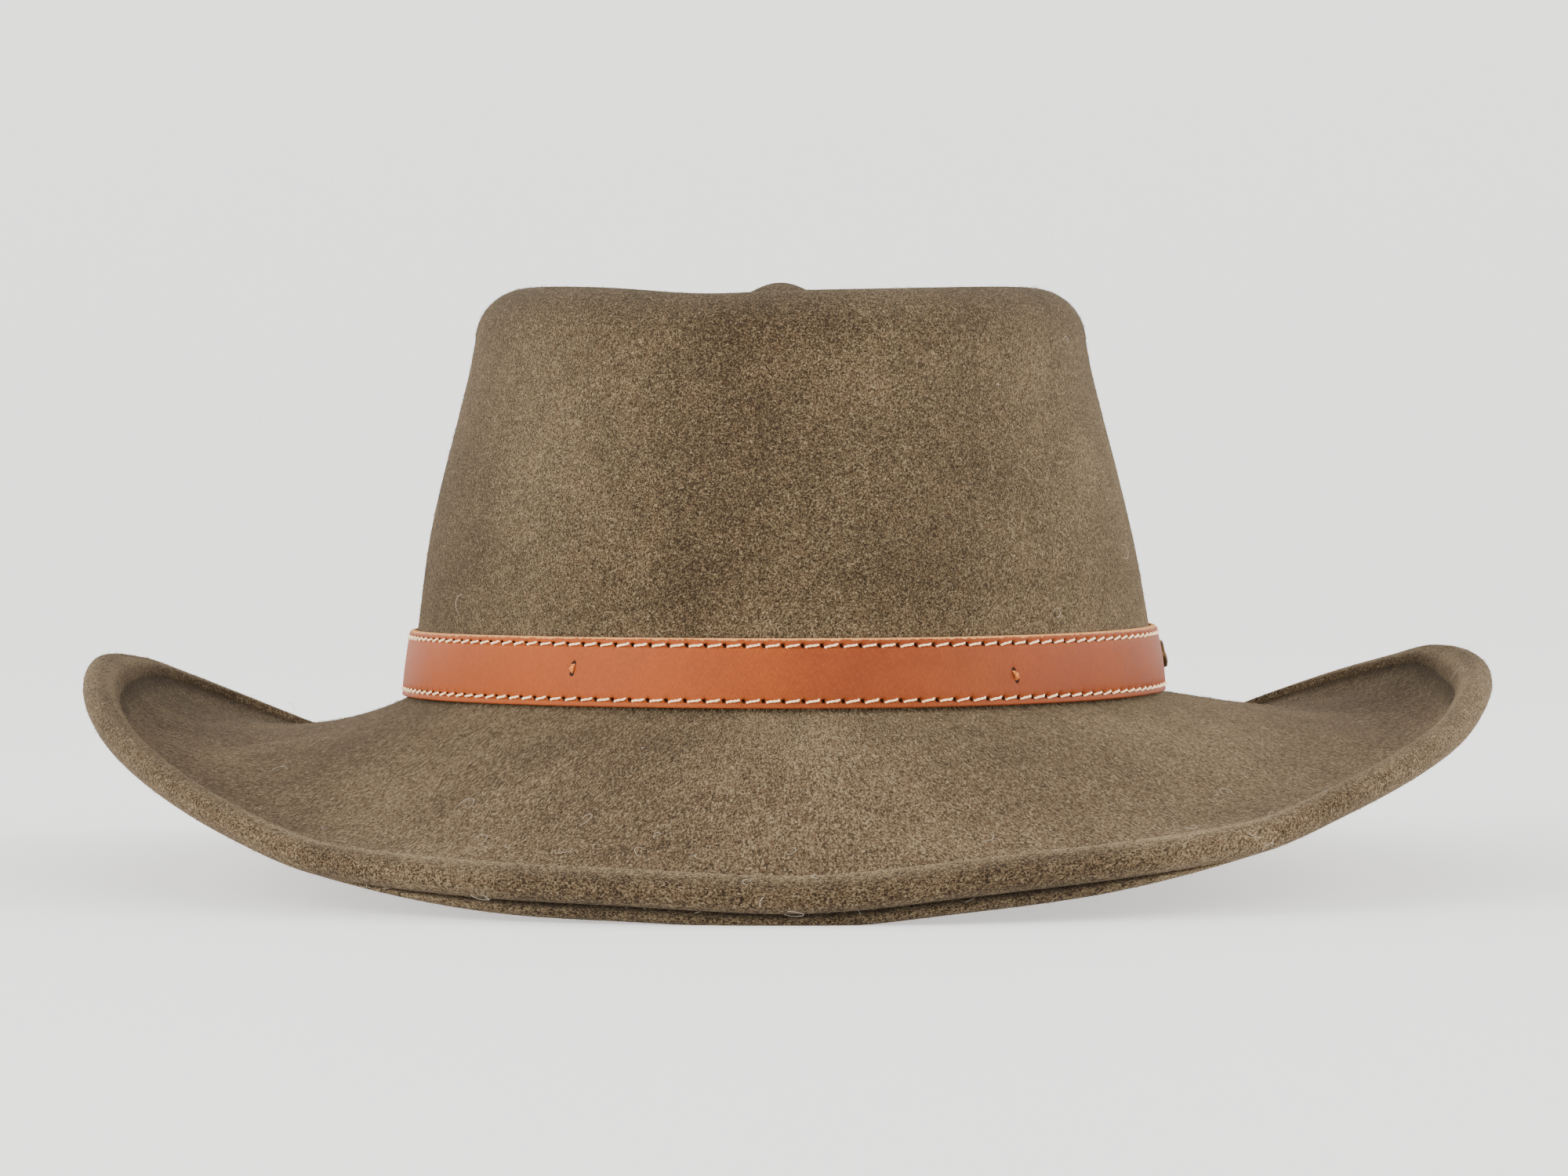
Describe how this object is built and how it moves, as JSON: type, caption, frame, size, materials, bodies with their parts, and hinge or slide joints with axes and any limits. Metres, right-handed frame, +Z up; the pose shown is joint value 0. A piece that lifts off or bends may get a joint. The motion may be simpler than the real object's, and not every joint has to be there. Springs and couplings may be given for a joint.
{
  "type": "gambler hat",
  "caption": "Felt gambler hat: oval crown sunk round a low centre dome, wide brim curled up at the sides and dipping front and back, stitched leather band with a small stud.",
  "frame": {"origin": "on the surface that the hat rests on, under the middle of its overall box", "axes": "-Y towards the front of the hat, +X towards the wearer's left, +Z up out of the crown"},
  "size_m": [0.3302, 0.3602, 0.1379],
  "materials": {
    "felt": "soft matt olive-brown wool felt with lighter fibres",
    "band_leather": "tan leather, fine embossed grain, light raw top edge, cream stitching",
    "stud_metal": "dark antique brass, softly worn"
  },
  "bodies": {
    "root": {"felt_body": "felt", "leather_band": "band_leather", "side_pin": "stud_metal"}
  },
  "joints": []
}
